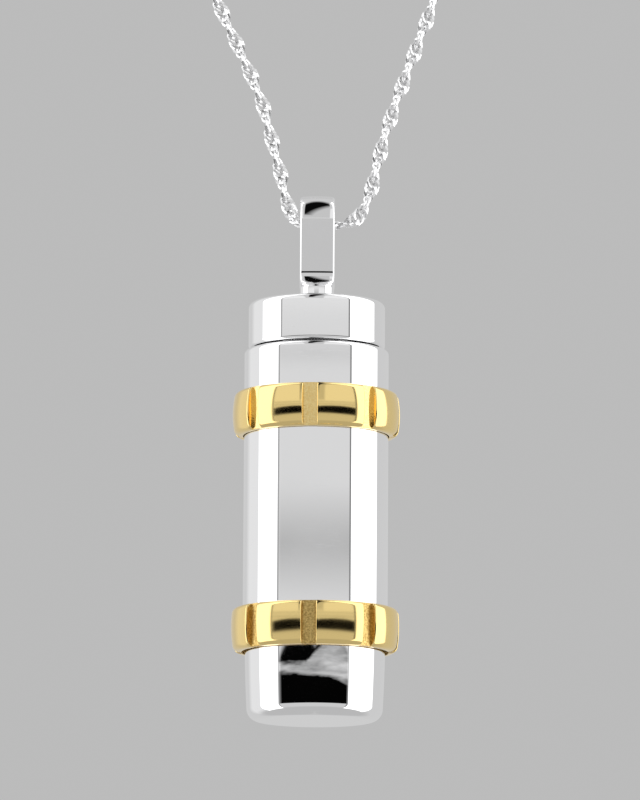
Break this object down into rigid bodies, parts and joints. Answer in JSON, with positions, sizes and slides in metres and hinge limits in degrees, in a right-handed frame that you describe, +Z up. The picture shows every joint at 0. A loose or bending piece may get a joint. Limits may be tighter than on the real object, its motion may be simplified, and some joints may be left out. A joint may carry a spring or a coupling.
{
  "type": "keepsake urn pendant on a twisted chain",
  "caption": "Silver cylinder keepsake urn with notched gold bands, a screw cap and a strap bail, hanging from a fine twisted chain with a spring ring clasp.",
  "frame": {"origin": "the nape: the middle of the closed clasp, where the chain crosses the back of the wearer's neck", "axes": "+Z up, -Y the way the wearer faces, +X to the right when the pendant is seen from the front"},
  "size_m": [0.109, 0.119, 0.1646],
  "materials": {
    "polished_silver": "mirror polished silver",
    "polished_gold": "polished yellow gold with satin notches"
  },
  "bodies": {
    "necklace": {"chain": "polished_silver", "clasp": "polished_silver", "clasp_link": "polished_silver", "end_ring": "polished_silver"},
    "cap": {"cap_with_bail": "polished_silver"},
    "urn": {"urn_body": "polished_silver", "upper_band": "polished_gold", "lower_band": "polished_gold"}
  },
  "joints": [
    {"name": "pendant_swing", "type": "hinge", "parent": "necklace", "child": "cap", "pos_m": [0, -0.112, -0.129], "axis": [1, 0, 0], "range_deg": [-75, 75]},
    {"name": "urn_unscrew", "type": "slide", "parent": "cap", "child": "urn", "axis": [0, 0, -1], "range_m": [0, 0.01]}
  ]
}
